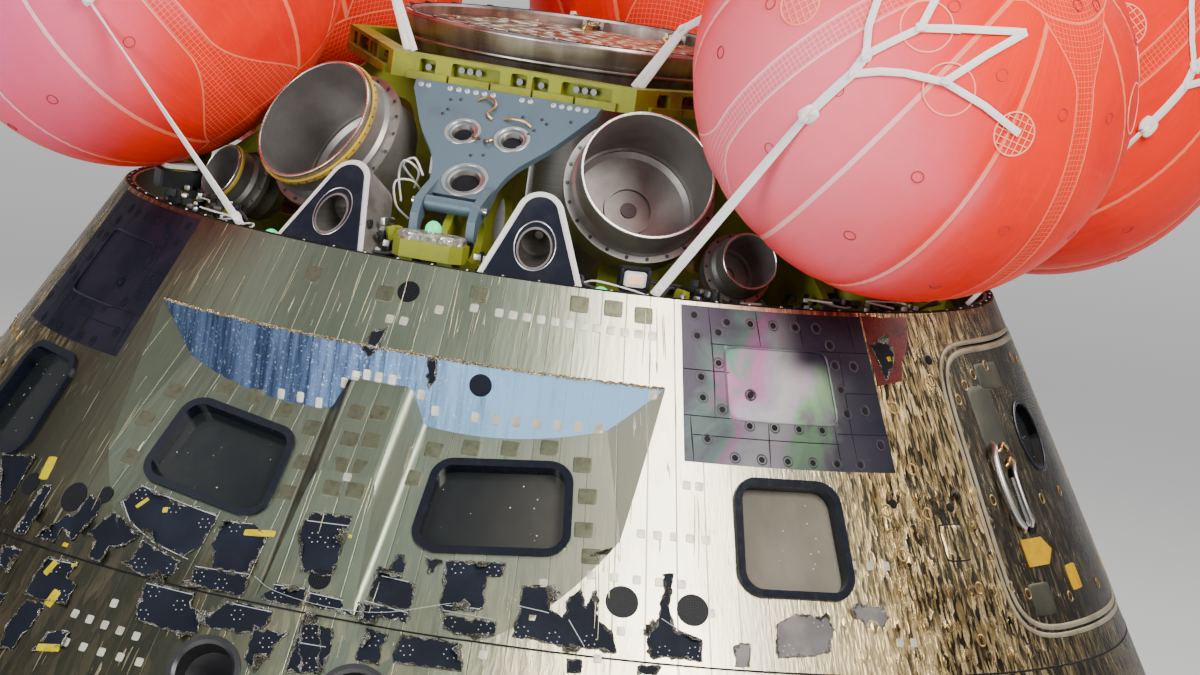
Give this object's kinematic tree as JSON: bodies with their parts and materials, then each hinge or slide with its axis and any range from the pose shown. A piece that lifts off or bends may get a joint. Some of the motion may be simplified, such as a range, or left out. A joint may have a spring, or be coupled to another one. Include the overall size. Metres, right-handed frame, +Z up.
{
  "type": "space capsule",
  "caption": "Conical crew capsule on its heat shield, forward bay open, with spherical righting airbags, windows, mortar cans, a docking ring and a hinged side hatch.",
  "frame": {"origin": "lowest point of the heat shield, on the axis of the cone", "axes": "+Z up along the cone's axis towards the docking ring; the two large windows face -Y; the side hatch faces +X"},
  "size_m": [5.0292, 5.0292, 4.047],
  "materials": {
    "ablator": "charred, matt",
    "taped_skin": "aluminised tape over black tiles, creased",
    "dark_panel": "dark, iridescent sheen",
    "window_frame": "satin black",
    "window_glass": "clear, dark behind",
    "beacon_lens": "green dome",
    "box_black": "satin black",
    "screen_mesh": "black mesh",
    "bare_metal": "brushed",
    "ring_steel": "brushed round",
    "foil_lid": "crumpled gold foil",
    "primer": "yellow-green primer",
    "blue_grey": "satin blue-grey",
    "pod_white": "matt white",
    "pod_black": "matt black",
    "nozzle_metal": "heat-tinted",
    "bag_fabric": "coated orange-red fabric",
    "seat_fabric": "woven",
    "console_plastic": "satin",
    "cabin_metal": "satin",
    "handle_steel": "brushed"
  },
  "bodies": {
    "capsule": {"heat_shield": "ablator", "lower_front_right_panel": "taped_skin", "lower_rear_right_panel": "taped_skin", "lower_rear_left_panel": "taped_skin", "lower_front_left_panel": "taped_skin", "front_window_panel": "taped_skin", "right_side_panel": "taped_skin", "left_side_panel": "taped_skin", "hatch_surround": "taped_skin", "rear_right_panel": "taped_skin", "rear_left_panel": "taped_skin", "left_rear_side_panel": "taped_skin", "right_access_panel": "dark_panel", "left_access_panel": "dark_panel", "front_window_frames": "window_frame", "side_window_frames": "window_frame", "window_panes": "window_glass", "vent_screens": "screen_mesh", "cabin_floor": "cabin_metal", "crew_seats": "seat_fabric", "display_console": "console_plastic", "forward_bulkhead": "primer", "docking_tunnel": "bare_metal", "docking_ring": "ring_steel", "ring_frame": "primer", "bay_gussets": "primer", "gusset_plate": "blue_grey", "right_large_mortar": "bare_metal", "left_large_mortar": "bare_metal", "small_mortars": "bare_metal", "mortar_brackets": "primer", "right_thruster_pod": "pod_white", "left_thruster_pod": "pod_white", "thruster_pod_faces": "pod_black", "pod_nozzles": "nozzle_metal", "lower_nozzles": "nozzle_metal", "airbag_front_right": "bag_fabric", "airbag_front_left": "bag_fabric", "airbag_rear_right": "bag_fabric", "airbag_rear_left": "bag_fabric", "airbag_rear_centre": "bag_fabric", "airbag_bases": "primer", "beacon_tray": "primer", "beacon_lamps": "beacon_lens", "bay_boxes": "box_black"},
    "side_hatch": {"side_hatch": "taped_skin", "hatch_window_pane": "window_glass", "hatch_handle": "handle_steel"},
    "docking_hatch": {"docking_hatch": "foil_lid"}
  },
  "joints": [
    {"name": "side_hatch_hinge", "type": "hinge", "parent": "capsule", "child": "side_hatch", "pos_m": [1.67619, 0.61158, 2.018], "axis": [-0.4739, -0.1595, 0.866], "range_deg": [0, 100]},
    {"name": "docking_hatch_hinge", "type": "hinge", "parent": "capsule", "child": "docking_hatch", "pos_m": [0, 0.53, 3.241], "axis": [-1, 0, 0], "range_deg": [0, 100]}
  ]
}
